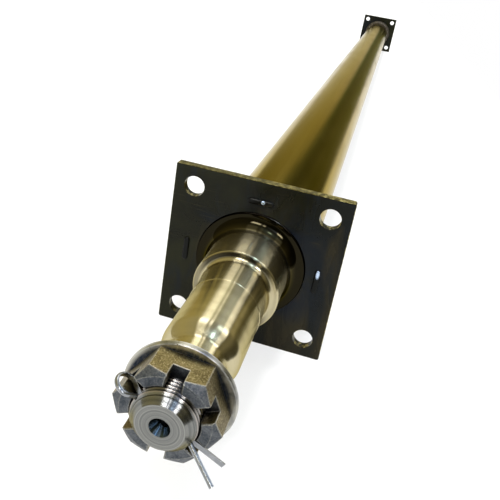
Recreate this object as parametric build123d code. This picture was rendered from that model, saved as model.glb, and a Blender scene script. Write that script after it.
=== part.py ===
from build123d import *
import os
from math import acos, cos, degrees, radians, sin, sqrt, tan

# A straight trailer axle, in millimetres, with +Z up and the origin at the middle of the tube.
# The axle lies along Y. The left end points along -Y, and the right end is the left end turned
# half a turn about Z, so the threads of both spindles stay right-hand.

# Tube
flange_spread = 1651.0
tube_diameter = 60.3
tube_wall = 4.76
tube_end_chamfer = 0.8

# Spindle, from the flange face outwards
tail_length = 76.0
tail_clearance = 0.05
tail_chamfer = 2.0
collar_inset = 0.5
collar_width = 1.6
land_diameter = 43.66
land_length = 22.1
land_chamfer = 0.8
shoulder_fillet = 2.4
inner_seat_diameter = 34.92
inner_seat_length = 20.5
neck_step = 0.2
neck_length = 32.0
nose_radius = 10.0
nose_fillet = 4.0
outer_seat_diameter = 26.97
outer_seat_length = 16.5
thread_diameter = 25.4
thread_beyond = 4.7
thread_end_chamfer = 3.2
relief_width = 1.6
relief_depth = 1.1
centre_diameter = 8.0
centre_angle = 60.0
centre_pilot_diameter = 3.2
centre_pilot_depth = 8.0
drill_point_angle = 118.0

# Brake flange
flange_side = 95.25
flange_thickness = 4.76
flange_corner_radius = 1.2
flange_edge_break = 0.5
flange_bore_clearance = 0.1
bolt_pitch = 73.0
bolt_hole_diameter = 11.1
rib_length = 14.0
rib_width = 3.2
rib_height = 1.0
rib_rounding = 0.9

# Ring of weld metal behind the flange
weld_leg = 6.0
weld_bulge = 0.7

# Washer
washer_diameter = 44.75
washer_thickness = 2.0
washer_clearance = 0.7
washer_sideways = 0.5
washer_drop = 0.35
washer_edge_fillet = 0.6

# Slotted nut
nut_across_flats = 36.5
nut_height = 13.5
nut_thread_clearance = 0.1
nut_bore_chamfer = 0.7
nut_crown_angle = 30.0
nut_crown_share = 0.95
nut_slot_width = 6.35
nut_slot_depth = 6.7
nut_edge_break = 0.3
nut_bearing = 144.4

# Cotter pin of half-round wire, bent in the plane of the axle's axis
pin_diameter = 2.2
pin_hole_clearance = 1.25
pin_halves_gap = 0.12
pin_below_crown = 0.5
pin_bearing = 148.3
pin_loop_diameter = 9.7
pin_loop_reach = 17.8
pin_loop_flare = 11.0
pin_leg_length = 16.9
pin_leg_bend = 3.0
pin_leg_bend_inset = 2.5
pin_outer_leg_angle = 31.5
pin_inner_leg_angle = 4.8

# Radii and stations that follow from them. A station is a distance outwards from the flange face.
tube_radius = tube_diameter / 2
bore_radius = tube_radius - tube_wall
tail_radius = bore_radius - tail_clearance
collar_radius = tube_radius - collar_inset
land_radius = land_diameter / 2
inner_seat_radius = inner_seat_diameter / 2
neck_radius = inner_seat_radius - neck_step
outer_seat_radius = outer_seat_diameter / 2
thread_radius = thread_diameter / 2
flare_radius = collar_radius - land_radius

land_start = collar_width + flare_radius
land_end = land_start + land_length
inner_seat_end = land_end + inner_seat_length
neck_end = inner_seat_end + neck_length
nose_angle = acos(1 - (neck_radius - outer_seat_radius) / (nose_radius + nose_fillet))
nose_end = neck_end + (nose_radius + nose_fillet) * sin(nose_angle)
washer_back = nose_end + outer_seat_length
nut_base = washer_back + washer_thickness
nut_crown = nut_base + nut_height
spindle_end = nut_crown + thread_beyond
pin_station = nut_crown - pin_below_crown
pin_hole_radius = pin_diameter / 2 + pin_hole_clearance


def turned(outline):
    """Solid of revolution from a closed outline in (radius, station), turned about local Z."""
    return revolve(Plane.XZ * make_face(outline), Axis.Z)


def axle_tube():
    """Round tube whose ends are level with the front faces of the flanges."""
    tube = Cylinder(tube_radius, flange_spread) - Cylinder(bore_radius, flange_spread)
    circles = tube.edges().filter_by(GeomType.CIRCLE)
    outer_rims = circles.filter_by(lambda edge: edge.radius > bore_radius + tube_wall / 2)
    return Rot(90, 0, 0) * chamfer(outer_rims, tube_end_chamfer)


def spindle_outline():
    """Half section of the spindle, from the tail inside the tube to the threaded end."""
    nose_top = (neck_radius, neck_end)
    nose_mid = (
        neck_radius - nose_radius * (1 - cos(nose_angle)),
        neck_end + nose_radius * sin(nose_angle),
    )
    nose_bottom = (outer_seat_radius, nose_end)
    relief_end = washer_back + relief_width
    relief_radius = thread_radius - relief_depth
    tail = Polyline(
        (0, -tail_length),
        (tail_radius - tail_chamfer, -tail_length),
        (tail_radius, -tail_length + tail_chamfer),
        (tail_radius, 0),
        (collar_radius, 0),
        (collar_radius, collar_width),
    )
    flare = RadiusArc((collar_radius, collar_width), (land_radius, land_start), flare_radius)
    shoulder = Polyline(
        (land_radius, land_start),
        (land_radius, land_end - land_chamfer),
        (land_radius - land_chamfer, land_end),
        (inner_seat_radius + shoulder_fillet, land_end),
    )
    root = RadiusArc(
        (inner_seat_radius + shoulder_fillet, land_end),
        (inner_seat_radius, land_end + shoulder_fillet),
        shoulder_fillet,
    )
    neck = Polyline(
        (inner_seat_radius, land_end + shoulder_fillet),
        (inner_seat_radius, inner_seat_end),
        (neck_radius, inner_seat_end + neck_step),
        nose_top,
    )
    nose = RadiusArc(nose_top, nose_mid, -nose_radius)
    foot = RadiusArc(nose_mid, nose_bottom, nose_fillet)
    end = Polyline(
        nose_bottom,
        (outer_seat_radius, washer_back),
        (relief_radius, washer_back),
        (relief_radius, relief_end),
        (thread_radius, relief_end + relief_depth),
        (thread_radius, spindle_end - thread_end_chamfer),
        (thread_radius - thread_end_chamfer, spindle_end),
        (0, spindle_end),
        (0, -tail_length),
    )
    return [*tail.edges(), flare, *shoulder.edges(), root, *neck.edges(), nose, foot, *end.edges()]


def centre_hole():
    """Conical centre in the spindle's end, with the pilot hole and its drill point behind it."""
    mouth = centre_diameter / 2
    pilot = centre_pilot_diameter / 2
    cone_depth = (mouth - pilot) / tan(radians(centre_angle / 2))
    bottom = spindle_end - centre_pilot_depth
    point = bottom - pilot / tan(radians(drill_point_angle / 2))
    return turned(
        Polyline(
            (0, point),
            (pilot, bottom),
            (pilot, spindle_end - cone_depth),
            (mouth, spindle_end),
            (0, spindle_end),
            (0, point),
        )
    )


def spindle():
    """Turned spindle with a centre in its end, drilled across for the cotter pin."""
    cross_drill = Rot(0, 90, 0) * Cylinder(pin_hole_radius, 4 * thread_radius)
    body = turned(spindle_outline()) - centre_hole()
    return body - Pos(0, 0, pin_station) * Rot(0, 0, pin_bearing) * cross_drill


def flange_rib():
    """Low raised mark with round ends, lying along local X on the flange's front face."""
    rib = extrude(SlotOverall(rib_length, rib_width), rib_height)
    return fillet(rib.faces().sort_by(Axis.Z)[-1].edges(), rib_rounding)


def brake_flange():
    """Square plate, with the tube's hole, four bolt holes and a raised mark inside each side."""
    outline = RectangleRounded(flange_side, flange_side, flange_corner_radius)
    bore = Circle(tube_radius + flange_bore_clearance)
    bolts = GridLocations(bolt_pitch, bolt_pitch, 2, 2) * Circle(bolt_hole_diameter / 2)
    plate = extrude(outline - bore - bolts, -flange_thickness)
    front = plate.faces().sort_by(Axis.Z)[-1]
    plate = fillet(front.outer_wire().edges(), flange_edge_break)
    ribs = [Rot(0, 0, 90 * side) * Pos(0, bolt_pitch / 2, 0) * flange_rib() for side in range(4)]
    return plate + ribs


def flange_weld():
    """Ring of weld metal in the corner between the tube and the back of the flange."""
    inner = tube_radius + flange_bore_clearance
    back = -flange_thickness
    half = (inner + weld_leg / 2 + weld_bulge, back - weld_leg / 2 - weld_bulge)
    return turned(
        [
            Line((inner, back), (inner + weld_leg, back)),
            ThreePointArc((inner + weld_leg, back), half, (inner, back - weld_leg)),
            Line((inner, back - weld_leg), (inner, back)),
        ]
    )


def spindle_washer():
    """Round washer behind the nut, hanging loose on the thread, with a rounded front rim."""
    ring = Cylinder(washer_diameter / 2, washer_thickness) - Cylinder(
        thread_radius + washer_clearance, washer_thickness
    )
    rim = ring.faces().sort_by(Axis.Z)[-1].outer_wire().edges()
    rounded = fillet(rim, washer_edge_fillet)
    return Pos(washer_sideways, -washer_drop, washer_back + washer_thickness / 2) * rounded


def nut_envelope():
    """Turned envelope of the nut, with the conical crown outside and a chamfer at each mouth."""
    corner = nut_across_flats / sqrt(3)
    crown = nut_crown_share * nut_across_flats / 2
    crown_drop = (corner - crown) * tan(radians(nut_crown_angle))
    bore = thread_radius + nut_thread_clearance
    return turned(
        Polyline(
            (bore + nut_bore_chamfer, 0),
            (corner, 0),
            (corner, nut_height - crown_drop),
            (crown, nut_height),
            (bore + nut_bore_chamfer, nut_height),
            (bore, nut_height - nut_bore_chamfer),
            (bore, nut_bore_chamfer),
            (bore + nut_bore_chamfer, 0),
        )
    )


def castle_nut():
    """Hexagon nut with a slot in the middle of each flat and a merlon at each corner."""
    hexagon = extrude(RegularPolygon(nut_across_flats / 2, 6, major_radius=False), nut_height)
    nut = Rot(0, 0, 30) * hexagon & nut_envelope()
    slot = Box(2 * nut_across_flats, nut_slot_width, nut_slot_depth)
    slot = Pos(0, 0, nut_height - nut_slot_depth / 2) * slot
    for turn in (0, 60, 120):
        nut -= Rot(0, 0, turn) * slot
    crown_faces = nut.faces().filter_by(Plane.XY).group_by(Axis.Z)[-1]
    nut = chamfer(crown_faces.edges().filter_by(GeomType.LINE), nut_edge_break)
    return Pos(0, 0, nut_base) * Rot(0, 0, nut_bearing) * nut


def pin_path():
    """Line of the wire's flat side, with X along the pin and Y outwards along the axle.

    It runs from the tip of the outer leg through the hole, round the loop and back to the tip
    of the inner leg.
    """
    gap = pin_halves_gap / 2
    loop_radius = (pin_loop_diameter - pin_diameter) / 2
    flare_angle = degrees(acos((gap + pin_loop_flare) / (pin_loop_flare + loop_radius)))
    shank_end = pin_loop_reach - (pin_loop_flare + loop_radius) * sin(radians(flare_angle))
    leg_start = thread_radius - pin_leg_bend_inset
    bend = pin_leg_bend * sin(radians(pin_outer_leg_angle))
    rise = pin_leg_bend * (1 - cos(radians(pin_outer_leg_angle)))
    tip = (
        -leg_start - bend - pin_leg_length * cos(radians(pin_outer_leg_angle)),
        gap + rise + pin_leg_length * sin(radians(pin_outer_leg_angle)),
    )
    outer_leg = Line(tip, (-leg_start - bend, gap + rise))
    outer_bend = JernArc(outer_leg @ 1, outer_leg % 1, pin_leg_bend, pin_outer_leg_angle)
    outer_shank = Line(outer_bend @ 1, (shank_end, gap))
    flare_out = JernArc(outer_shank @ 1, outer_shank % 1, pin_loop_flare, flare_angle)
    loop = JernArc(flare_out @ 1, flare_out % 1, loop_radius, -180 - 2 * flare_angle)
    flare_in = JernArc(loop @ 1, loop % 1, pin_loop_flare, flare_angle)
    inner_shank = Line(flare_in @ 1, (-leg_start, -gap))
    inner_bend = JernArc(inner_shank @ 1, inner_shank % 1, pin_leg_bend, pin_inner_leg_angle)
    inner_leg = Line(inner_bend @ 1, inner_bend @ 1 + (inner_bend % 1) * pin_leg_length)
    return Wire(
        [outer_leg, outer_bend, outer_shank, flare_out, loop, flare_in, inner_shank, inner_bend, inner_leg]
    )


def cotter_pin():
    """Split pin of half-round wire, through two opposite slots of the nut, with its legs spread."""
    path = pin_path()
    start = Plane(origin=path @ 0, x_dir=(0, 0, 1), z_dir=path % 0)
    wire_half = Circle(pin_diameter / 2) & Pos(0, pin_diameter / 2) * Rectangle(pin_diameter, pin_diameter)
    side = 1 if start.y_dir.Y > 0 else -1
    wire = sweep(start * Rot(0, 0, 90 - 90 * side) * wire_half, path)
    return Pos(0, 0, pin_station) * Rot(0, 0, pin_bearing) * Rot(90, 0, 0) * wire


def place_left(piece):
    """Move a piece from its own frame, local Z outwards, to the left end of the tube."""
    return Pos(0, -flange_spread / 2, 0) * Rot(90, 0, 0) * piece


def place_right(piece):
    """Move a piece to the right end, which is the left end turned half a turn about Z."""
    return Rot(0, 0, 180) * place_left(piece)


def write_parts():
    """Write one STEP file for each node."""
    os.makedirs("parts", exist_ok=True)
    export_step(axle_tube(), "parts/axle_tube.step")
    ends = {
        "spindle": spindle(),
        "brake_flange": brake_flange(),
        "flange_weld": flange_weld(),
        "spindle_washer": spindle_washer(),
        "castle_nut": castle_nut(),
        "cotter_pin": cotter_pin(),
    }
    for name, piece in ends.items():
        export_step(place_left(piece), f"parts/{name}_left.step")
        export_step(place_right(piece), f"parts/{name}_right.step")


write_parts()
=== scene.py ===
import bmesh
import bpy
from math import acos, ceil, cos, pi, radians, sin, tan
from mathutils import Matrix, Vector


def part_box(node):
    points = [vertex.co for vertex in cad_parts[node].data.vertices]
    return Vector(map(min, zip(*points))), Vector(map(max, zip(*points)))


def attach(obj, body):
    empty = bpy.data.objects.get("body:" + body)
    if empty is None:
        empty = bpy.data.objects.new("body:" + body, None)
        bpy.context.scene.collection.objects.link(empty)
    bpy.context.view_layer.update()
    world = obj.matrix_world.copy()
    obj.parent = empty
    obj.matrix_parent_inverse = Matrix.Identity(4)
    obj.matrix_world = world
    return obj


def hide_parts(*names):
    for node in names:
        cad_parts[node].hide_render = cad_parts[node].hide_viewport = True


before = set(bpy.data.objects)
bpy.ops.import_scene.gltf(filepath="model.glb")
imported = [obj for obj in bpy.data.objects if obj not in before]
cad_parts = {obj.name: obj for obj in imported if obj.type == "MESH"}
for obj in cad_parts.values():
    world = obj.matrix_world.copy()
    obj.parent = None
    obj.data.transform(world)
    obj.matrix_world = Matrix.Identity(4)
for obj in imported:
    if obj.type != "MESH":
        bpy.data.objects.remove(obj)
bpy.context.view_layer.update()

MM = 0.001

# Places read from the frame. A station is a distance outwards from the flange face.
SPINDLE_LOW, SPINDLE_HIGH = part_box("spindle_left")
FLANGE_LOW, FLANGE_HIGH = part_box("brake_flange_left")
WELD_LOW, WELD_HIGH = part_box("flange_weld_left")
FLANGE_HALF_SIDE = FLANGE_HIGH.x
WASHER_LOW, WASHER_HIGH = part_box("spindle_washer_left")
WASHER_RADIUS = (WASHER_HIGH.x - WASHER_LOW.x) / 2
FLANGE_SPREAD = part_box("axle_tube")[1].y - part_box("axle_tube")[0].y
FACE = FLANGE_SPREAD / 2
SPINDLE_END = -SPINDLE_LOW.y - FACE
TAIL_LENGTH = FACE + SPINDLE_HIGH.y
COLLAR_RADIUS = SPINDLE_HIGH.x

# Spindle, in metres
COLLAR_WIDTH = 1.6 * MM
LAND_RADIUS = 21.83 * MM
LAND_LENGTH = 22.1 * MM
LAND_CHAMFER = 0.8 * MM
SHOULDER_FILLET = 2.4 * MM
INNER_SEAT_RADIUS = 17.46 * MM
INNER_SEAT_LENGTH = 20.5 * MM
NECK_STEP = 0.2 * MM
NECK_LENGTH = 32.0 * MM
NOSE_RADIUS = 10.0 * MM
NOSE_FILLET = 4.0 * MM
OUTER_SEAT_RADIUS = 13.485 * MM
OUTER_SEAT_LENGTH = 16.5 * MM
TAIL_RADIUS = 25.34 * MM
TAIL_CHAMFER = 2.0 * MM
THREAD_RADIUS = 12.7 * MM
THREAD_PITCH = 25.4 / 14 * MM
THREAD_DEPTH = 1.1 * MM
THREAD_END_CHAMFER = 3.2 * MM
THREAD_FADE = 0.3 * MM
RELIEF_WIDTH = 1.6 * MM
CENTRE_RADIUS = 4.0 * MM
CENTRE_ANGLE = radians(60)
CENTRE_PILOT_RADIUS = 1.6 * MM
CENTRE_PILOT_DEPTH = 8.0 * MM
DRILL_POINT = radians(118)
PIN_HOLE_RADIUS = 2.35 * MM
PIN_STATION = 125.08 * MM
PIN_BEARING = radians(148.3)
FACING_PITCH = 0.52 * MM
FACING_DEPTH = 0.03 * MM

# Bead of weld behind each flange
WELD_LEG = 6.0 * MM
WELD_FULLNESS = 1.39
WELD_RIPPLES = 74
WELD_RIPPLE_DEPTH = 0.07
WELD_RIPPLE_LEAN = 0.45
WELD_RIPPLE_DRIFT = 0.12
WELD_UNEVENNESS = 0.03

# Flange: its bolt holes, and raised marks which lie on the lines between them
HALF_PITCH = 36.5 * MM
BOLT_HOLE_RADIUS = 5.55 * MM

# Finish: how far the welds' heat shows on the tube, the length that carries the spindle's marks,
# and how wide the bare metal of the flange's rim and hole walls shows
HEAT_REACH = 60.0 * MM
MARKED_LENGTH = 140.0 * MM
BARE_RIM = 0.28 * MM
BARE_HOLE_WALL = 0.12 * MM

# Painted highlights, small blue-white glints, on two raised marks: place across and up, then reach across
# and up
SIDE_GLINT = (HALF_PITCH + 0.2 * MM, 4.6 * MM, 1.15 * MM, 2.9 * MM)
TOP_GLINT = (1.2 * MM, HALF_PITCH + 0.4 * MM, 1.15 * MM, 1.1 * MM)

# Light. Directions within END_ON of the axle's line show what is beyond it, and those past SLANTED the room
SLANTED = radians(29)
END_ON = radians(22)
FLOOR_TONE = 0.32
FLOOR_GLOW = 0.68
LAMPS_STRENGTH = 50.0
WINDOW_TOWARDS = (0.33, -0.42, 0.85)
SKYLIGHT_TOWARDS = (0.45, 0.40, 0.79)
KEY_TOWARDS = (-0.12, -0.30, 1.0)
KEY_STRENGTH = 2.0
KEY_SPREAD = radians(12)
KEY_COLOUR = (1.0, 0.98, 0.94)

# Camera: place, and where it looks, as the photograph shows the axle
CAMERA_RIGHT = 43.93 * MM
CAMERA_BEFORE_FACE = 281.44 * MM
CAMERA_HEIGHT = 150.78 * MM
CAMERA_AZIMUTH = radians(-10.44)
CAMERA_ELEVATION = radians(-22.64)
CAMERA_ROLL = radians(9.88)
CAMERA_FOCAL_SHARE = 595.2 / 500
CAMERA_SHIFT_X = 5.2 / 500
CAMERA_SHIFT_Y = -42.1 / 500
SENSOR = 36.0


def arc(centre, radius, start, end, steps):
    """Points (radius, station) of an arc, angles in radians from the radial direction."""
    turns = [start + (end - start) * i / steps for i in range(steps + 1)]
    return [(centre[0] + radius * cos(t), centre[1] + radius * sin(t)) for t in turns]


def linked(name, data):
    """A new object with that mesh, lamp or camera, in the scene."""
    made = bpy.data.objects.new(name, data)
    bpy.context.scene.collection.objects.link(made)
    return made


def finished(bm, name):
    """The mesh that a bmesh holds, which is freed."""
    mesh = bpy.data.meshes.new(name)
    bm.to_mesh(mesh)
    bm.free()
    return mesh


# Spindle

LAND_START = COLLAR_WIDTH + COLLAR_RADIUS - LAND_RADIUS
LAND_END = LAND_START + LAND_LENGTH
INNER_SEAT_END = LAND_END + INNER_SEAT_LENGTH
NECK_RADIUS = INNER_SEAT_RADIUS - NECK_STEP
NECK_END = INNER_SEAT_END + NECK_LENGTH
NOSE_ANGLE = acos(1 - (NECK_RADIUS - OUTER_SEAT_RADIUS) / (NOSE_RADIUS + NOSE_FILLET))
NOSE_END = NECK_END + (NOSE_RADIUS + NOSE_FILLET) * sin(NOSE_ANGLE)
WASHER_BACK = NOSE_END + OUTER_SEAT_LENGTH
THREAD_START = WASHER_BACK + RELIEF_WIDTH
THREAD_ROOT = THREAD_RADIUS - THREAD_DEPTH
END_RADIUS = THREAD_RADIUS - THREAD_END_CHAMFER
THREAD_RUN_OUT = SPINDLE_END - THREAD_END_CHAMFER + THREAD_DEPTH + THREAD_FADE

# One turn of the thread, as shares of its pitch and of its depth, from crest to crest
THREAD_PROFILE = ((-0.0625, 0), (0.0625, 0), (0.25, 0.5), (0.4375, 1), (0.5625, 1), (0.75, 0.5))

# Vertices round the axis, and the distance within which two of them are one
AROUND = 160
SAME_POINT = 0.002 * MM


def rows_before_thread():
    """Half section (radius, station) from the tail inside the tube to the start of the thread."""
    flare = COLLAR_RADIUS - LAND_RADIUS
    rows = [
        (TAIL_RADIUS - TAIL_CHAMFER, -TAIL_LENGTH),
        (TAIL_RADIUS, -TAIL_LENGTH + TAIL_CHAMFER),
        (TAIL_RADIUS, 0),
        (COLLAR_RADIUS, 0),
    ]
    rows += arc((COLLAR_RADIUS, LAND_START), flare, -pi / 2, -pi, 16)
    rows += [
        (LAND_RADIUS, LAND_END - LAND_CHAMFER),
        (LAND_RADIUS - LAND_CHAMFER, LAND_END),
    ]
    root = (INNER_SEAT_RADIUS + SHOULDER_FILLET, LAND_END + SHOULDER_FILLET)
    rows += arc(root, SHOULDER_FILLET, -pi / 2, -pi, 8)
    rows += [(INNER_SEAT_RADIUS, INNER_SEAT_END), (NECK_RADIUS, INNER_SEAT_END + NECK_STEP)]
    rows += arc((NECK_RADIUS - NOSE_RADIUS, NECK_END), NOSE_RADIUS, 0, NOSE_ANGLE, 10)
    foot = (OUTER_SEAT_RADIUS + NOSE_FILLET, NOSE_END)
    rows += arc(foot, NOSE_FILLET, -pi + NOSE_ANGLE, -pi, 6)[1:]
    rows += [
        (OUTER_SEAT_RADIUS, WASHER_BACK),
        (THREAD_ROOT, WASHER_BACK),
        (THREAD_ROOT, THREAD_START),
    ]
    return rows


def rows_after_thread():
    """Half section from the run-out of the thread over the end face to the bottom of the centre."""
    rows = [(END_RADIUS, SPINDLE_END)]
    rings = int((END_RADIUS - CENTRE_RADIUS) / FACING_PITCH)
    for ring in range(rings):
        rows.append((END_RADIUS - (ring + 0.45) * FACING_PITCH, SPINDLE_END - FACING_DEPTH))
        rows.append((END_RADIUS - (ring + 0.95) * FACING_PITCH, SPINDLE_END))
    bottom = SPINDLE_END - CENTRE_PILOT_DEPTH
    cone_depth = (CENTRE_RADIUS - CENTRE_PILOT_RADIUS) / tan(CENTRE_ANGLE / 2)
    rows += [
        (CENTRE_RADIUS, SPINDLE_END),
        (CENTRE_PILOT_RADIUS, SPINDLE_END - cone_depth),
        (CENTRE_PILOT_RADIUS, bottom),
        (0, bottom - CENTRE_PILOT_RADIUS / tan(DRILL_POINT / 2)),
    ]
    return rows


def thread_envelope(station):
    """Largest radius of the thread at a station, under the ramp at its start and the end chamfer."""
    ramp = THREAD_ROOT + max(station - THREAD_START, 0)
    chamfer = END_RADIUS + SPINDLE_END - station
    return min(THREAD_RADIUS, ramp, chamfer)


def helical_thread(bm):
    """Columns of vertices whose rows follow the helix, clipped to the thread's own stretch."""
    turns = ceil((THREAD_RUN_OUT - THREAD_START) / THREAD_PITCH) + 2
    columns = []
    for i in range(AROUND):
        angle = 2 * pi * i / AROUND
        column = []
        for turn in range(turns):
            for phase, depth in THREAD_PROFILE:
                station = THREAD_START + THREAD_PITCH * (turn - 1 + phase + i / AROUND)
                station = min(max(station, THREAD_START), THREAD_RUN_OUT)
                radius = min(THREAD_RADIUS - depth * THREAD_DEPTH, thread_envelope(station))
                column.append(bm.verts.new((radius * cos(angle), radius * sin(angle), station)))
        columns.append(column)
    step = len(THREAD_PROFILE)
    for i in range(AROUND):
        here = columns[i]
        shifted = columns[(i + 1) % AROUND][step if i == AROUND - 1 else 0:]
        for j in range(min(len(here), len(shifted)) - 1):
            bm.faces.new((here[j], shifted[j], shifted[j + 1], here[j + 1]))


def turned_rows(bm, rows):
    """Rings of vertices from (radius, station) rows, joined by faces. A row at radius 0 is one point."""
    rings = []
    for radius, station in rows:
        if radius == 0:
            rings.append([bm.verts.new((0, 0, station))] * AROUND)
        else:
            spots = [2 * pi * i / AROUND for i in range(AROUND)]
            rings.append([bm.verts.new((radius * cos(t), radius * sin(t), station)) for t in spots])
    for low, high in zip(rings, rings[1:]):
        for i in range(AROUND):
            k = (i + 1) % AROUND
            corners = [low[i], low[k], high[k], high[i]]
            bm.faces.new(list(dict.fromkeys(corners)))


def spindle_blank():
    """Closed mesh of the spindle in its own frame, threaded, before the cross hole is drilled."""
    bm = bmesh.new()
    turned_rows(bm, [(0, -TAIL_LENGTH)] + rows_before_thread())
    helical_thread(bm)
    turned_rows(bm, [(thread_envelope(THREAD_RUN_OUT), THREAD_RUN_OUT)] + rows_after_thread())
    bmesh.ops.remove_doubles(bm, verts=bm.verts, dist=SAME_POINT)
    bmesh.ops.dissolve_degenerate(bm, edges=bm.edges, dist=SAME_POINT / 2)
    bmesh.ops.recalc_face_normals(bm, faces=bm.faces)
    return finished(bm, "spindle_blank")


def cross_drill():
    """Rod twice as long as the thread is wide, which cuts the hole for the cotter pin."""
    bm = bmesh.new()
    bmesh.ops.create_cone(
        bm,
        cap_ends=True,
        segments=40,
        radius1=PIN_HOLE_RADIUS,
        radius2=PIN_HOLE_RADIUS,
        depth=4 * THREAD_RADIUS,
    )
    turn = Matrix.Rotation(PIN_BEARING, 4, "Z") @ Matrix.Rotation(pi / 2, 4, "Y")
    bm.transform(Matrix.Translation((0, 0, PIN_STATION)) @ turn)
    return linked("cross_drill", finished(bm, "cross_drill"))


def drilled_spindle():
    """The spindle's mesh with its cross hole cut."""
    blank = linked("spindle_blank", spindle_blank())
    drill = cross_drill()
    cut = blank.modifiers.new("cut", "BOOLEAN")
    cut.object = drill
    cut.operation = "DIFFERENCE"
    cut.solver = "EXACT"
    bpy.context.view_layer.update()
    evaluated = blank.evaluated_get(bpy.context.evaluated_depsgraph_get())
    mesh = bpy.data.meshes.new_from_object(evaluated)
    bpy.data.objects.remove(blank)
    bpy.data.objects.remove(drill)
    return mesh


def end_matrix(side):
    """From an end's own frame to the row frame."""
    place = Matrix.Translation((0, -FACE, 0)) @ Matrix.Rotation(pi / 2, 4, "X")
    return place if side < 0 else Matrix.Rotation(pi, 4, "Z") @ place


def place_end(mesh, name, node, side, sharp_over):
    """Puts a copy of an end's mesh at its end, as the piece that stands for a CAD node.

    It is shaded smooth, except at edges where faces turn by more than sharp_over.
    """
    own = mesh.copy()
    own.transform(end_matrix(side))
    own.shade_smooth()
    own.set_sharp_from_angle(angle=sharp_over)
    piece = linked(name, own)
    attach(piece, "root")
    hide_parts(node)
    return piece


# Weld bead

def wobble(angle, seed):
    """Slow unevenness round a ring, from -1 to 1."""
    waves = ((0.5, 5, 1.0), (0.3, 11, 2.3), (0.2, 23, 4.1))
    return sum(share * sin(turns * angle + shift * seed) for share, turns, shift in waves)


def weld_bead(seed):
    """Bead with the overlapping ripples that a weld leaves, within the ring that the part gives it."""
    inner = WELD_HIGH.x - WELD_LEG
    back = FACE + WELD_LOW.y
    around, across = 6 * WELD_RIPPLES, 14
    bm = bmesh.new()
    rings = []
    for i in range(around):
        angle = 2 * pi * i / around
        ring = []
        for j in range(across + 1):
            lean = pi / 2 * j / across
            turned = WELD_RIPPLES * angle / (2 * pi) + WELD_RIPPLE_LEAN * sin(lean * 2)
            ripple = (turned + WELD_RIPPLE_DRIFT * wobble(angle, seed)) % 1.0
            crest = 4 * ripple * (1 - ripple)
            uneven = WELD_UNEVENNESS * (1 + wobble(angle, seed + 1))
            size = WELD_LEG * (1 - WELD_RIPPLE_DEPTH * (1 - crest) - uneven)
            radius = inner + size * cos(lean) ** WELD_FULLNESS
            station = -back - size * sin(lean) ** WELD_FULLNESS
            ring.append(bm.verts.new((radius * cos(angle), radius * sin(angle), station)))
        ring.append(bm.verts.new((inner * cos(angle), inner * sin(angle), -back)))
        rings.append(ring)
    for i in range(around):
        here, there = rings[i], rings[(i + 1) % around]
        for j in range(len(here)):
            k = (j + 1) % len(here)
            bm.faces.new((here[j], there[j], there[k], here[k]))
    bmesh.ops.recalc_face_normals(bm, faces=bm.faces)
    return finished(bm, "weld_bead")


# Materials

def rgba(tone):
    """A colour, or a grey given as one value, as the four values that a node takes."""
    return (tone, tone, tone, 1) if isinstance(tone, (int, float)) else (*tone, 1)


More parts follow.
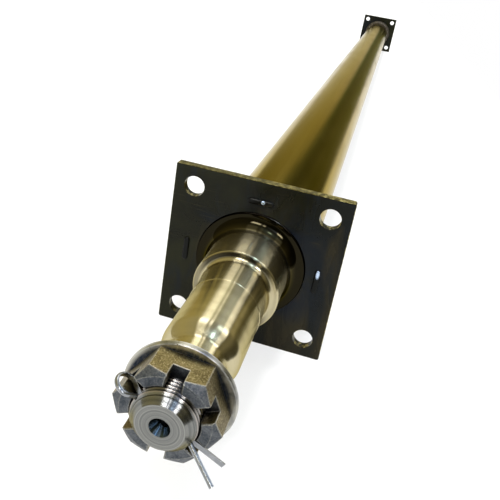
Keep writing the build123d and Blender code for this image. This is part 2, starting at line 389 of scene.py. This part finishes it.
class Recipe:
    """A material's node tree, with short calls for the nodes that the recipes share."""

    def __init__(self, name):
        self.material = bpy.data.materials.new(name)
        self.material.use_nodes = True
        self.nodes = self.material.node_tree.nodes
        self.links = self.material.node_tree.links
        self.shader = self.nodes["Principled BSDF"]
        self.place = self.nodes.new("ShaderNodeTexCoord").outputs["Object"]
        self.normal = self.nodes.new("ShaderNodeNewGeometry").outputs["Normal"]

    def feed(self, socket, value):
        """Links an output to a socket, or sets the socket's own value."""
        if isinstance(value, bpy.types.NodeSocket):
            self.links.new(value, socket)
        elif value is not None:
            socket.default_value = value

    def math(self, operation, a, b=None, c=None, clamp=False):
        """A sum, product or the like of values or outputs."""
        node = self.nodes.new("ShaderNodeMath")
        node.operation = operation
        node.use_clamp = clamp
        for socket, value in zip(node.inputs, (a, b, c)):
            self.feed(socket, value)
        return node.outputs[0]

    def times(self, a, b):
        """The product of two values."""
        return self.math("MULTIPLY", a, b)

    def rise(self, value, start, length):
        """0 up to the start, and from there up to 1 over that length."""
        return self.math("MULTIPLY_ADD", value, 1 / length, -start / length, clamp=True)

    def vector_math(self, operation, a, b=None):
        """The same for vectors. A length or a dot product comes out as a value."""
        node = self.nodes.new("ShaderNodeVectorMath")
        node.operation = operation
        self.feed(node.inputs[0], a)
        self.feed(node.inputs[1], b)
        return node.outputs["Value" if operation in ("LENGTH", "DOT_PRODUCT") else "Vector"]

    def parts(self, vector):
        """The three coordinates of a vector."""
        node = self.nodes.new("ShaderNodeSeparateXYZ")
        self.links.new(vector, node.inputs[0])
        return node.outputs

    def combined(self, x, y=0.0, z=0.0):
        """A vector from its coordinates."""
        node = self.nodes.new("ShaderNodeCombineXYZ")
        for socket, value in zip(node.inputs, (x, y, z)):
            self.feed(socket, value)
        return node.outputs[0]

    def stretched(self, x, y, z):
        """The piece's own coordinates, scaled along each axis, in cycles a metre."""
        return self.vector_math("MULTIPLY", self.place, (x, y, z))

    def noise(self, vector, scale=1.0, detail=4.0, roughness=0.55, distortion=0.0):
        """Cloudy noise from 0 to 1, about 0.5 on average."""
        node = self.nodes.new("ShaderNodeTexNoise")
        self.links.new(vector, node.inputs["Vector"])
        node.inputs["Scale"].default_value = scale
        node.inputs["Detail"].default_value = detail
        node.inputs["Roughness"].default_value = roughness
        node.inputs["Distortion"].default_value = distortion
        return node.outputs["Fac"]

    def ramp(self, factor, stops):
        """A colour ramp from (place, value or colour) stops."""
        node = self.nodes.new("ShaderNodeValToRGB")
        self.links.new(factor, node.inputs["Fac"])
        elements = node.color_ramp.elements
        while len(elements) < len(stops):
            elements.new(0.5)
        for element, (place, tone) in zip(elements, stops):
            element.position = place
            element.color = rgba(tone)
        return node.outputs["Color"]

    def mix(self, factor, a, b, blend="MIX"):
        """Goes from a to b with the factor. Each is an output, a colour or a grey."""
        node = self.nodes.new("ShaderNodeMix")
        node.data_type = "RGBA"
        node.blend_type = blend
        self.feed(node.inputs["Factor"], factor)
        for socket, value in ((node.inputs["A"], a), (node.inputs["B"], b)):
            self.feed(socket, value if isinstance(value, bpy.types.NodeSocket) else rgba(value))
        return node.outputs["Result"]

    def tinted(self, a, b):
        """The product of two colours."""
        return self.mix(1.0, a, b, "MULTIPLY")

    def bump(self, height, strength, distance, below=None):
        """The normal of a surface raised by a height, on top of the normal below."""
        node = self.nodes.new("ShaderNodeBump")
        node.inputs["Strength"].default_value = strength
        node.inputs["Distance"].default_value = distance
        self.links.new(height, node.inputs["Height"])
        self.feed(node.inputs["Normal"], below)
        return node.outputs["Normal"]

    def openness(self, reach):
        """1 on open surfaces and less in crevices, as far as that reach."""
        node = self.nodes.new("ShaderNodeAmbientOcclusion")
        node.samples = 6
        node.inputs["Distance"].default_value = reach
        return node.outputs["AO"]

    def rounded(self, reach):
        """The normal with edges rounded to that radius."""
        node = self.nodes.new("ShaderNodeBevel")
        node.samples = 4
        node.inputs["Radius"].default_value = reach
        return node.outputs["Normal"]

    def worn_edge(self, reach):
        """1 along sharp edges and 0 on the faces between them."""
        alike = self.vector_math("DOT_PRODUCT", self.rounded(reach), self.normal)
        return self.ramp(alike, [(0.84, 1.0), (0.98, 0.0)])

    def turned_round(self):
        """Scratches round the axle's axis, which draw reflections out along it."""
        node = self.nodes.new("ShaderNodeTangent")
        node.direction_type = "RADIAL"
        node.axis = "Y"
        self.links.new(node.outputs["Tangent"], self.shader.inputs["Tangent"])
        self.shader.inputs["Anisotropic Rotation"].default_value = 0.25

    def distance(self, a, b):
        """Length of the diagonal of two coordinates."""
        return self.math("SQRT", self.math("ADD", self.times(a, a), self.times(b, b)))

    def radius(self):
        """Distance from the axle's axis."""
        x, _, z = self.parts(self.place)[:3]
        return self.distance(x, z)

    def across(self):
        """Level distance from the axle's axis, to the right of one who faces that end."""
        x, y = self.parts(self.place)[:2]
        return self.times(self.math("SIGN", y), self.times(x, -1.0))

    def sideways(self, reach):
        """0 to 1 from left to right over that reach on both sides of the axis."""
        return self.math("MULTIPLY_ADD", self.across(), 0.5 / reach, 0.5)

    def spot(self, a, b, a_place, b_place, a_reach, b_reach):
        """1 inside an oval in two coordinates, fading to 0 at its reaches."""
        along_a = self.times(self.math("SUBTRACT", a, a_place), 1 / a_reach)
        along_b = self.times(self.math("SUBTRACT", b, b_place), 1 / b_reach)
        off_centre = self.vector_math("LENGTH", self.combined(along_a, along_b))
        return self.ramp(off_centre, [(0.45, 1.0), (1.0, 0.0)])

    def station(self):
        """Distance outwards from the nearer flange face."""
        y = self.parts(self.place)[1]
        return self.math("SUBTRACT", self.math("ABSOLUTE", y), FACE)

    def finish(self, colour, roughness, metallic=1.0, normal=None, **constants):
        """The material, with its shader fed and other sockets set to constants by name."""
        self.feed(self.shader.inputs["Base Color"], colour)
        self.feed(self.shader.inputs["Roughness"], roughness)
        self.feed(self.shader.inputs["Metallic"], metallic)
        self.feed(self.shader.inputs["Normal"], normal)
        for name, value in constants.items():
            self.shader.inputs[name.replace("_", " ")].default_value = value
        return self.material


def tube_steel():
    """Drawn steel tube under an amber film of oil, with heat tint beside the welds."""
    r = Recipe("tube_steel")
    drawn = r.noise(r.stretched(520, 5, 520), detail=5.0, roughness=0.6)
    broad = r.noise(r.stretched(22, 5, 22), detail=3.0)
    film = r.ramp(broad, [(0.3, (0.255, 0.205, 0.075)), (0.7, (0.31, 0.25, 0.095))])
    colour = r.mix(r.ramp(drawn, [(0.35, 0.0), (0.7, 0.35)]), film, (0.20, 0.155, 0.055))
    inward = r.times(r.station(), -1 / HEAT_REACH)
    tint = r.ramp(
        inward,
        [
            (0.12, (0.07, 0.06, 0.06)),
            (0.2, (0.08, 0.075, 0.10)),
            (0.3, (0.22, 0.12, 0.07)),
            (0.48, (0.28, 0.20, 0.075)),
        ],
    )
    colour = r.mix(r.ramp(inward, [(0.25, 0.85), (0.7, 0.0)]), colour, tint)
    specks = r.noise(r.stretched(900, 900, 900), detail=2.0)
    colour = r.mix(r.ramp(specks, [(0.66, 0.0), (0.74, 0.35)]), colour, (0.08, 0.055, 0.025))
    roughness = r.ramp(r.noise(r.stretched(60, 9, 60), detail=4.0), [(0.3, 0.12), (0.75, 0.20)])
    normal = r.bump(drawn, 0.08, 0.05 * MM)
    return r.finish(colour, roughness, normal=normal, Specular_Tint=(0.72, 0.62, 0.36, 1))


def spindle_steel():
    """Turned and ground steel, scorched black on the flare, with painted shade in the centre hole, in the
    hollows near the end such as the cross hole, and on the shoulder's face.
    """
    r = Recipe("spindle_steel")
    r.turned_round()
    rings = r.noise(r.stretched(14, 2600, 14), detail=4.0, roughness=0.65)
    bands = r.noise(r.stretched(8, 160, 8), detail=3.0)
    handled = r.noise(r.stretched(70, 45, 70), detail=4.0, distortion=0.6)
    ground = r.ramp(bands, [(0.3, (0.44, 0.39, 0.245)), (0.7, (0.52, 0.465, 0.30))])
    ground = r.mix(r.ramp(handled, [(0.5, 0.0), (0.8, 0.25)]), ground, (0.36, 0.29, 0.15))
    half_section = r.combined(r.radius(), r.times(r.station(), 0.6))
    faced = r.noise(half_section, scale=1300, detail=3.0, roughness=0.7)
    grey = r.ramp(
        faced, [(0.34, (0.125, 0.128, 0.125)), (0.50, (0.185, 0.188, 0.182)), (0.66, (0.27, 0.27, 0.255))]
    )
    out = r.times(r.station(), 1 / MARKED_LENGTH)
    at_end = r.ramp(out, [(0.80, 0.0), (0.82, 1.0)])
    colour = r.mix(at_end, ground, grey)
    crest = r.ramp(r.times(r.radius(), 1 / THREAD_RADIUS), [(0.955, 0.0), (0.985, 1.0)])
    colour = r.mix(r.times(crest, at_end), colour, (0.34, 0.315, 0.295))
    # Painted shade: the centre hole is coloured dark bluish grey, as its recess looks in shade
    painted_centre_shade = r.math("LESS_THAN", r.radius(), CENTRE_RADIUS - 0.05 * MM)
    colour = r.mix(r.times(painted_centre_shade, at_end), colour, (0.065, 0.090, 0.115))
    flare = r.ramp(out, [(0.035, 1.0), (0.064, 0.0)])
    scorched = r.ramp(out, [(0.02, (0.014, 0.012, 0.0065)), (0.055, (0.075, 0.062, 0.025))])
    colour = r.mix(flare, colour, scorched)
    # Painted shade: the colour of the shoulder's face and the outer part of its chamfer goes nearly black
    # across most of its width, fading out at the right, in place of dark reflections there
    past = r.rise(r.station(), LAND_END - 0.85 * MM, 0.9 * MM)
    high = r.rise(r.radius(), INNER_SEAT_RADIUS + 0.8 * MM, 1.2 * MM)
    shade_across = r.ramp(
        r.sideways(LAND_RADIUS),
        [(0.06, 0.50), (0.14, 0.94), (0.36, 0.985), (0.62, 0.985), (0.84, 0.70), (0.93, 0.0)],
    )
    painted_shoulder_shade = r.times(r.times(past, high), shade_across)
    colour = r.mix(painted_shoulder_shade, colour, (0.012, 0.011, 0.009))
    # Painted shade: hollows near the end, such as the thread roots and the cross hole, are darkened by how
    # enclosed they are
    painted_hollow_shade = r.ramp(r.openness(2.2 * MM), [(0.35, 0.85), (0.8, 0.0)])
    colour = r.mix(r.times(painted_hollow_shade, at_end), colour, 0.03)
    roughness = r.ramp(rings, [(0.3, 0.155), (0.75, 0.205)])
    roughness = r.mix(r.ramp(handled, [(0.55, 0.0), (0.8, 0.4)]), roughness, 0.32)
    roughness = r.mix(r.ramp(out, [(0.215, 1.0), (0.235, 0.0)]), roughness, 0.225)
    roughness = r.mix(flare, roughness, 0.06)
    drawn_out = r.noise(r.stretched(420, 9, 420), detail=3.0, roughness=0.6)
    normal = r.bump(rings, 0.03, 0.02 * MM, r.bump(drawn_out, 0.05, 0.03 * MM))
    normal = r.bump(r.times(faced, at_end), 0.22, 0.03 * MM, normal)
    return r.finish(
        colour, roughness, normal=normal, Anisotropic=1.0, Specular_Tint=(0.64, 0.58, 0.36, 1)
    )


def flange_black():
    """Near-black plate with a faint green and blue cast, a painted blue sheen on its right side and round
    the weld, bare metal on its edges and hole walls, and two painted highlights on raised marks.
    """
    r = Recipe("flange_black")
    smear = r.noise(r.stretched(36, 36, 14), detail=5.0, roughness=0.6, distortion=0.8)
    cloud = r.noise(r.stretched(28, 28, 28), detail=4.0, distortion=0.5)
    x, _, z = r.parts(r.place)[:3]
    across = r.across()
    # Random cloud plus a drift from left to right: the black goes from olive on the left to a painted blue
    # sheen, a painted reflection, on the right
    cloud_and_side_sheen = r.math("MULTIPLY_ADD", across, 4.0, cloud)
    black = r.ramp(
        cloud_and_side_sheen,
        [
            (0.30, (0.0095, 0.0098, 0.0038)),
            (0.50, (0.0042, 0.0042, 0.0022)),
            (0.66, (0.0018, 0.0026, 0.0030)),
            (0.80, (0.0034, 0.0048, 0.0070)),
        ],
    )
    black = r.mix(r.ramp(smear, [(0.52, 0.0), (0.66, 0.9)]), black, (0.0185, 0.0145, 0.0062))
    wiped = r.noise(r.stretched(90, 90, 24), detail=4.0, roughness=0.6, distortion=0.5)
    black = r.mix(r.ramp(wiped, [(0.52, 0.0), (0.70, 0.8)]), black, (0.0050, 0.0068, 0.0092))
    # Painted reflection: a blue sheen on the plate round the weld, on its right side
    near_weld = r.ramp(r.times(r.radius(), 1 / FLANGE_HALF_SIDE), [(0.66, 1.0), (0.92, 0.0)])
    painted_blue_sheen = r.times(near_weld, r.ramp(cloud_and_side_sheen, [(0.50, 0.0), (0.66, 0.9)]))
    black = r.mix(painted_blue_sheen, black, (0.0030, 0.0055, 0.0115))
    scratches = r.noise(r.stretched(60, 60, 1500), detail=3.0, distortion=0.3)
    scratched = r.times(
        r.ramp(scratches, [(0.62, 0.0), (0.70, 0.6)]), r.ramp(cloud, [(0.50, 0.0), (0.62, 1.0)])
    )
    black = r.mix(scratched, black, (0.021, 0.018, 0.009))
    rough_edge = r.noise(r.stretched(420, 260, 420), detail=6.0, roughness=0.7)
    bare = r.ramp(
        rough_edge,
        [(0.36, (0.025, 0.019, 0.006)), (0.48, (0.12, 0.095, 0.026)), (0.61, (0.56, 0.48, 0.20))],
    )
    # Painted shade: the bare rim and hole walls are darker towards the left
    bare = r.mix(r.ramp(cloud_and_side_sheen, [(0.35, 0.72), (0.70, 0.0)]), bare, (0.045, 0.038, 0.014))
    reach = r.math("MAXIMUM", r.math("ABSOLUTE", x), r.math("ABSOLUTE", z))
    rim = r.math("GREATER_THAN", reach, FLANGE_HALF_SIDE - BARE_RIM)
    from_hole_x = r.math("SUBTRACT", r.math("ABSOLUTE", x), HALF_PITCH)
    from_hole_z = r.math("SUBTRACT", r.math("ABSOLUTE", z), HALF_PITCH)
    wall = r.math("LESS_THAN", r.distance(from_hole_x, from_hole_z), BOLT_HOLE_RADIUS + BARE_HOLE_WALL)
    specks = r.ramp(rough_edge, [(0.50, 0.10), (0.62, 0.85)])
    edge = r.math("MAXIMUM", rim, r.times(wall, specks))
    raised = r.ramp(r.times(r.station(), 1 / MM), [(0.35, 0.0), (0.8, 1.0)])
    colour = r.mix(edge, black, bare)
    colour = r.mix(raised, colour, (0.0012, 0.0014, 0.0020))
    # Painted highlights: small bright blue-white metallic spots on two raised marks stand in for glints of
    # the window
    painted_glints = r.math("MAXIMUM", r.spot(across, z, *SIDE_GLINT), r.spot(across, z, *TOP_GLINT))
    painted_glint = r.times(painted_glints, raised)
    colour = r.mix(painted_glint, colour, (0.50, 0.62, 0.80))
    metallic = r.times(r.math("MAXIMUM", edge, painted_glint), 0.9)
    roughness = r.mix(edge, r.ramp(smear, [(0.3, 0.18), (0.8, 0.32)]), 0.36)
    roughness = r.mix(raised, roughness, 0.14)
    plain = r.bump(r.noise(r.stretched(180, 180, 180), detail=4.0), 0.10, 0.1 * MM)
    normal = r.bump(r.times(rough_edge, rim), 0.8, 0.8 * MM, plain)
    return r.finish(
        colour,
        roughness,
        metallic=metallic,
        normal=normal,
        Specular_IOR_Level=0.15,
        Specular_Tint=(0.95, 0.97, 0.85, 1),
    )


def weld_metal():
    """Dark oxidised weld with brighter blotches at random."""
    r = Recipe("weld_metal")
    scale = r.noise(r.stretched(300, 300, 300), detail=5.0, roughness=0.65)
    colour = r.ramp(
        scale, [(0.3, (0.035, 0.030, 0.026)), (0.55, (0.10, 0.085, 0.065)), (0.75, (0.22, 0.19, 0.14))]
    )
    roughness = r.ramp(scale, [(0.3, 0.55), (0.75, 0.35)])
    normal = r.bump(scale, 0.35, 0.15 * MM)
    return r.finish(colour, roughness, metallic=0.85, normal=normal)


def washer_steel():
    """Stamped washer: scuffed grey face with blue and golden casts, and a bright rim, with painted light
    making it bright all along its left side.
    """
    r = Recipe("washer_steel")
    scuffs = r.noise(r.stretched(700, 60, 150), detail=5.0, roughness=0.7, distortion=0.5)
    cloud = r.noise(r.stretched(120, 120, 120), detail=3.0, distortion=0.4)
    face = r.ramp(
        cloud, [(0.3, (0.022, 0.034, 0.062)), (0.5, (0.042, 0.054, 0.080)), (0.72, (0.12, 0.115, 0.085))]
    )
    face = r.mix(r.ramp(scuffs, [(0.5, 0.0), (0.72, 0.45)]), face, (0.22, 0.22, 0.215))
    pits = r.noise(r.stretched(1100, 1100, 1100), detail=4.0, roughness=0.7)
    face = r.mix(r.ramp(pits, [(0.36, 0.75), (0.47, 0.0)]), face, (0.022, 0.024, 0.028))
    face = r.mix(r.ramp(pits, [(0.57, 0.0), (0.68, 0.45)]), face, (0.26, 0.245, 0.19))
    border = r.ramp(r.times(r.radius(), 1 / WASHER_RADIUS), [(0.88, 0.0), (0.93, 1.0)])
    # The bright rim is partly random wear and partly painted light: it is bright all along the left side
    side = r.ramp(r.sideways(WASHER_RADIUS), [(0.16, 1.0), (0.34, 0.0)])
    wear_and_left_light = r.math("MAXIMUM", side, r.ramp(cloud, [(0.35, 0.25), (0.6, 0.95)]))
    border = r.times(border, wear_and_left_light)
    face = r.mix(border, face, (0.40, 0.39, 0.345))
    worn = r.worn_edge(0.9 * MM)
    colour = r.mix(r.times(worn, 0.9), face, (0.66, 0.65, 0.61))
    roughness = r.ramp(scuffs, [(0.3, 0.38), (0.75, 0.24)])
    normal = r.bump(pits, 0.22, 0.08 * MM)
    return r.finish(colour, roughness, normal=normal)


def nut_steel():
    """Forged nut: golden-brown flats and rough grey tops, in part a golden-brown film and in part painted
    reflection, bright worn edges, and painted shade in the slots.
    """
    r = Recipe("nut_steel")
    grain = r.noise(r.stretched(1500, 1500, 1500), detail=5.0, roughness=0.75)
    patch = r.noise(r.stretched(260, 260, 260), detail=4.0)
    flats = r.ramp(patch, [(0.3, (0.105, 0.080, 0.030)), (0.7, (0.200, 0.158, 0.064))])
    flats = r.mix(r.ramp(grain, [(0.54, 0.0), (0.66, 0.85)]), flats, (0.46, 0.39, 0.20))
    flats = r.mix(r.ramp(grain, [(0.34, 0.85), (0.46, 0.0)]), flats, (0.045, 0.034, 0.014))
    tops = r.ramp(patch, [(0.3, (0.045, 0.052, 0.062)), (0.7, (0.115, 0.123, 0.132))])
    tops = r.mix(r.ramp(grain, [(0.52, 0.0), (0.70, 0.6)]), tops, (0.19, 0.195, 0.20))
    tops = r.mix(r.ramp(grain, [(0.34, 0.7), (0.46, 0.0)]), tops, (0.025, 0.03, 0.04))
    # Faces pointing along the axle take the grey of the tops and faces round it the golden brown of the
    # flats; the split is in part painted reflection of the room's cool and warm sides
    outward = r.ramp(r.math("ABSOLUTE", r.parts(r.normal)[1]), [(0.3, 0.0), (0.55, 1.0)])
    colour = r.mix(outward, flats, tops)
    worn = r.times(r.worn_edge(0.8 * MM), r.ramp(grain, [(0.3, 0.4), (0.55, 1.0)]))
    colour = r.mix(worn, colour, (0.58, 0.56, 0.48))
    # Painted shade: the slots and other hollows are darkened nearly to black by how enclosed they are
    painted_hollow_shade = r.openness(5 * MM)
    colour = r.mix(r.ramp(painted_hollow_shade, [(0.42, 0.94), (0.84, 0.0)]), colour, (0.010, 0.010, 0.012))
    roughness = r.ramp(grain, [(0.35, 0.50), (0.7, 0.32)])
    normal = r.bump(grain, 0.45, 0.10 * MM, r.rounded(0.45 * MM))
    return r.finish(colour, roughness, normal=normal)


def pin_zinc():
    """Bright zinc on half-round wire, with fine drawing lines, bright worn edges and painted shade in its
    crevices.
    """
    r = Recipe("pin_zinc")
    drawn = r.noise(r.stretched(2600, 1500, 2600), detail=3.0, distortion=0.2)
    cloud = r.noise(r.stretched(240, 240, 240), detail=2.0)
    colour = r.ramp(cloud, [(0.3, (0.23, 0.24, 0.255)), (0.7, (0.32, 0.33, 0.345))])
    colour = r.mix(r.ramp(drawn, [(0.5, 0.0), (0.75, 0.35)]), colour, (0.08, 0.085, 0.095))
    colour = r.mix(r.times(r.worn_edge(0.35 * MM), 0.9), colour, (0.70, 0.72, 0.75))
    # Painted shade: the pin's crevices are darkened by how enclosed they are
    colour = r.mix(r.ramp(r.openness(3 * MM), [(0.3, 0.7), (0.8, 0.0)]), colour, (0.05, 0.05, 0.055))
    roughness = r.ramp(drawn, [(0.3, 0.28), (0.75, 0.20)])
    normal = r.bump(drawn, 0.06, 0.04 * MM, r.rounded(0.25 * MM))
    return r.finish(colour, roughness, normal=normal)


# Stage

def floor_material():
    """White sheet that keeps the object's shadow, reads as plain white in metal and is clear from below."""
    r = Recipe("floor_white")
    path = r.nodes.new("ShaderNodeLightPath").outputs
    r.finish(rgba(FLOOR_TONE), 0.9, metallic=0.0, Specular_IOR_Level=0.0)
    seen = r.math("MAXIMUM", path["Is Camera Ray"], path["Is Transmission Ray"])
    seen = r.math("MAXIMUM", seen, path["Is Glossy Ray"])
    r.shader.inputs["Emission Color"].default_value = (1, 1, 1, 1)
    r.feed(r.shader.inputs["Emission Strength"], r.times(seen, FLOOR_GLOW))
    clear = r.nodes.new("ShaderNodeBsdfTransparent")
    sides = r.nodes.new("ShaderNodeMixShader")
    r.links.new(r.nodes.new("ShaderNodeNewGeometry").outputs["Backfacing"], sides.inputs["Fac"])
    r.links.new(r.shader.outputs["BSDF"], sides.inputs[1])
    r.links.new(clear.outputs["BSDF"], sides.inputs[2])
    r.links.new(sides.outputs["Shader"], r.nodes["Material Output"].inputs["Surface"])
    return r.material


def make_floor():
    """Floor under the flanges. Its near right edge lets the tube mirror the dark wall beyond it."""
    left, right, far = -14.0, 0.30, 14.0
    low = FLANGE_LOW.z
    corners = [(left, -far, low), (right, -far, low), (right, far, low), (left, far, low)]
    mesh = bpy.data.meshes.new("floor")
    mesh.from_pydata(corners, [], [(0, 1, 2, 3)])
    floor = linked("floor", mesh)
    floor.data.materials.append(floor_material())


class Sky(Recipe):
    """The world's node tree, with the same short calls as a material's."""

    def __init__(self, name):
        self.world = bpy.data.worlds.new(name)
        self.world.use_nodes = True
        self.nodes = self.world.node_tree.nodes
        self.links = self.world.node_tree.links
        self.towards = self.nodes.new("ShaderNodeTexCoord").outputs["Generated"]

    def around(self, turn, stops):
        """A ramp round the axle's axis from (degrees up from +X, colour) stops."""
        share = self.math("DIVIDE", self.math("ADD", turn, pi), 2 * pi)
        return self.ramp(share, [((angle + 180) / 360, colour) for angle, colour in stops])

    def disc(self, centre, stops):
        """A ramp round a direction from (degrees off it, value or colour) stops."""
        aligned = self.vector_math("DOT_PRODUCT", self.towards, Vector(centre).normalized())
        return self.ramp(aligned, [(cos(radians(angle)), tone) for angle, tone in stops])

    def together(self, *lights):
        """The sum of several lights."""
        total = lights[0]
        for light in lights[1:]:
            total = self.mix(1.0, total, light, "ADD")
        return total


def studio_room(sky, turn, endways):
    """Walls and ceiling round the axle, dimmer beside it than towards its far end."""
    room = sky.around(
        turn,
        [
            (-180, (0.60, 0.53, 0.36)),
            (-30, (0.10, 0.10, 0.08)),
            (0, (0.19, 0.17, 0.09)),
            (11, (0.19, 0.17, 0.08)),
            (17, (0.66, 0.58, 0.33)),
            (24, (0.66, 0.58, 0.33)),
            (29, (0.46, 0.40, 0.20)),
            (38, (0.50, 0.45, 0.27)),
            (60, (0.80, 0.78, 0.62)),
            (70, (0.86, 0.89, 0.88)),
            (80, (0.76, 0.77, 0.64)),
            (88, (0.86, 0.84, 0.60)),
            (120, (0.80, 0.74, 0.42)),
            (132, (0.74, 0.64, 0.27)),
            (155, (0.62, 0.52, 0.20)),
            (180, (0.66, 0.57, 0.32)),
        ],
    )
    beside = sky.around(
        turn,
        [
            (-180, (0.55, 0.50, 0.34)),
            (-30, (0.08, 0.08, 0.06)),
            (11, (0.10, 0.09, 0.05)),
            (25, (0.27, 0.24, 0.14)),
            (38, (0.22, 0.20, 0.12)),
            (60, (0.34, 0.32, 0.25)),
            (72, (0.38, 0.38, 0.33)),
            (88, (0.38, 0.36, 0.26)),
            (118, (0.55, 0.50, 0.30)),
            (150, (0.62, 0.54, 0.26)),
            (180, (0.60, 0.54, 0.32)),
        ],
    )
    return sky.mix(sky.ramp(endways, [(0.80, 0.0), (0.90, 1.0)]), beside, room)


def studio_lamps(sky, turn, endways):
    """Three long lamps over the axle, brightest before its near end and in the middle distance."""
    lamps = sky.around(
        turn,
        [
            (38, 0.0),
            (41, (0.75, 0.75, 0.775)),
            (52, (0.70, 0.70, 0.725)),
            (55, (0.04, 0.05, 0.09)),
            (82, 0.0),
            (84, (0.40, 0.40, 0.425)),
            (88, (0.40, 0.40, 0.425)),
            (90, (0.075, 0.075, 0.09)),
            (93, (0.075, 0.075, 0.09)),
            (96, (0.70, 0.71, 0.75)),
            (113, (0.675, 0.675, 0.70)),
            (116, 0.0),
        ],
    )
    row = sky.ramp(
        endways,
        [
            (0.065, 0.008),
            (0.08, 0.95),
            (0.115, 0.95),
            (0.13, 0.006),
            (0.22, 0.006),
            (0.26, 0.032),
            (0.45, 0.017),
            (0.60, 0.026),
            (0.67, 0.12),
            (0.82, 0.12),
            (0.86, 0.030),
            (1.0, 0.032),
        ],
    )
    return sky.tinted(sky.tinted(lamps, row), LAMPS_STRENGTH)


def studio_beyond(sky, turn, lengthways):
    """What the axle mirrors nearly end on, turned a little with the slant and brighter at its very end."""
    beyond = sky.around(
        sky.math("ADD", turn, sky.math("MULTIPLY_ADD", lengthways, 10.0, -9.66)),
        [
            (-180, (0.64, 0.61, 0.44)),
            (-30, (0.14, 0.14, 0.08)),
            (0, (0.20, 0.20, 0.085)),
            (16, (0.165, 0.17, 0.062)),
            (50, (0.125, 0.125, 0.056)),
            (72, (0.12, 0.13, 0.06)),
            (79, (0.17, 0.19, 0.10)),
            (95, (0.55, 0.49, 0.32)),
            (125, (0.57, 0.52, 0.30)),
            (150, (0.56, 0.52, 0.34)),
            (180, (0.64, 0.61, 0.44)),
        ],
    )
    towards_end = sky.ramp(sky.rise(lengthways, 0.9, 0.1), [(0.3, 0.64), (0.66, 1.0), (0.85, 1.35)])
    return sky.tinted(beyond, towards_end)


def studio_windows(sky):
    """A small window with a blue halo over the near end, and a skylight over the far one."""
    halo = sky.disc(WINDOW_TOWARDS, [(24, 0.0), (9, (0.35, 0.55, 0.90)), (6, (1.0, 1.4, 2.0))])
    pane = sky.tinted(sky.disc(WINDOW_TOWARDS, [(4.5, 0.0), (3, 1.0)]), (10.0, 14.0, 18.0))
    skylight = sky.tinted(sky.disc(SKYLIGHT_TOWARDS, [(10, 0.0), (5, 1.0)]), (3.2, 4.0, 4.6))
    return sky.together(pane, skylight, halo)


def studio_world():
    """White to the camera, and to metal below the horizon. Above it metal shows a studio round the axle."""
    sky = Sky("studio")
    bpy.context.scene.world = sky.world
    x, y, z = sky.parts(sky.towards)[:3]
    turn = sky.math("ARCTAN2", z, x)
    endways = sky.math("MULTIPLY_ADD", y, 0.5, 0.5)
    lengthways = sky.math("ABSOLUTE", y)
    near = sky.together(
        studio_room(sky, turn, endways), studio_lamps(sky, turn, endways), studio_windows(sky)
    )
    beyond = studio_beyond(sky, turn, lengthways)
    slanted, end_on = cos(SLANTED), cos(END_ON)
    studio = sky.mix(sky.rise(lengthways, slanted, end_on - slanted), near, beyond)

    tent = sky.nodes["Background"]
    sky.links.new(studio, tent.inputs["Color"])
    white = sky.nodes.new("ShaderNodeBackground")
    white.inputs["Color"].default_value = (1, 1, 1, 1)
    path = sky.nodes.new("ShaderNodeLightPath").outputs
    below = sky.ramp(sky.math("MULTIPLY_ADD", z, 0.5, 0.5), [(0.40, 1.0), (0.45, 0.0)])
    seen = sky.math("MAXIMUM", path["Is Camera Ray"], path["Is Transmission Ray"])
    seen = sky.math("MAXIMUM", seen, sky.times(path["Is Glossy Ray"], below))
    chosen = sky.nodes.new("ShaderNodeMixShader")
    sky.links.new(seen, chosen.inputs["Fac"])
    sky.links.new(tent.outputs["Background"], chosen.inputs[1])
    sky.links.new(white.outputs["Background"], chosen.inputs[2])
    sky.links.new(chosen.outputs["Shader"], sky.nodes["World Output"].inputs["Surface"])


def make_lamp():
    """A distant soft lamp for diffuse light and shadow."""
    light = bpy.data.lights.new("key", "SUN")
    light.energy = KEY_STRENGTH
    light.angle = KEY_SPREAD
    light.color = KEY_COLOUR
    lamp = linked("key", light)
    lamp.rotation_mode = "QUATERNION"
    lamp.rotation_quaternion = Vector(KEY_TOWARDS).to_track_quat("Z", "Y")
    lamp.visible_glossy = False


def make_camera():
    """The camera, placed and turned as the photograph was taken."""
    data = bpy.data.cameras.new("camera")
    data.sensor_width = SENSOR
    data.lens = SENSOR * CAMERA_FOCAL_SHARE
    data.shift_x = CAMERA_SHIFT_X
    data.shift_y = CAMERA_SHIFT_Y
    data.clip_start = 0.01
    data.clip_end = 60
    camera = linked("camera", data)
    camera.location = (CAMERA_RIGHT, -FACE - CAMERA_BEFORE_FACE, CAMERA_HEIGHT)
    level = Matrix.Rotation(-CAMERA_AZIMUTH, 4, "Z") @ Matrix.Rotation(pi / 2 + CAMERA_ELEVATION, 4, "X")
    camera.rotation_mode = "QUATERNION"
    camera.rotation_quaternion = (level @ Matrix.Rotation(CAMERA_ROLL, 4, "Z")).to_quaternion()
    bpy.context.scene.camera = camera


def dress_node(name, material):
    """Gives a CAD node its finish."""
    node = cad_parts[name]
    node.data.materials.clear()
    node.data.materials.append(material)


def build():
    """Puts the modelled pieces at both ends and gives every other node its finish."""
    spindle_mesh = drilled_spindle()
    spindle_finish = spindle_steel()
    weld_finish = weld_metal()
    finishes = {
        "brake_flange": flange_black(),
        "spindle_washer": washer_steel(),
        "castle_nut": nut_steel(),
        "cotter_pin": pin_zinc(),
    }
    dress_node("axle_tube", tube_steel())
    for end, side in (("left", -1), ("right", 1)):
        spindle = place_end(
            spindle_mesh, f"threaded_spindle_{end}", f"spindle_{end}", side, radians(28)
        )
        spindle.data.materials.append(spindle_finish)
        weld = place_end(
            weld_bead(side + 2.0), f"weld_bead_{end}", f"flange_weld_{end}", side, radians(50)
        )
        weld.data.materials.append(weld_finish)
        for name, material in finishes.items():
            dress_node(f"{name}_{end}", material)


make_camera()
build()
make_floor()
studio_world()
make_lamp()
bpy.context.scene.view_settings.view_transform = "Standard"
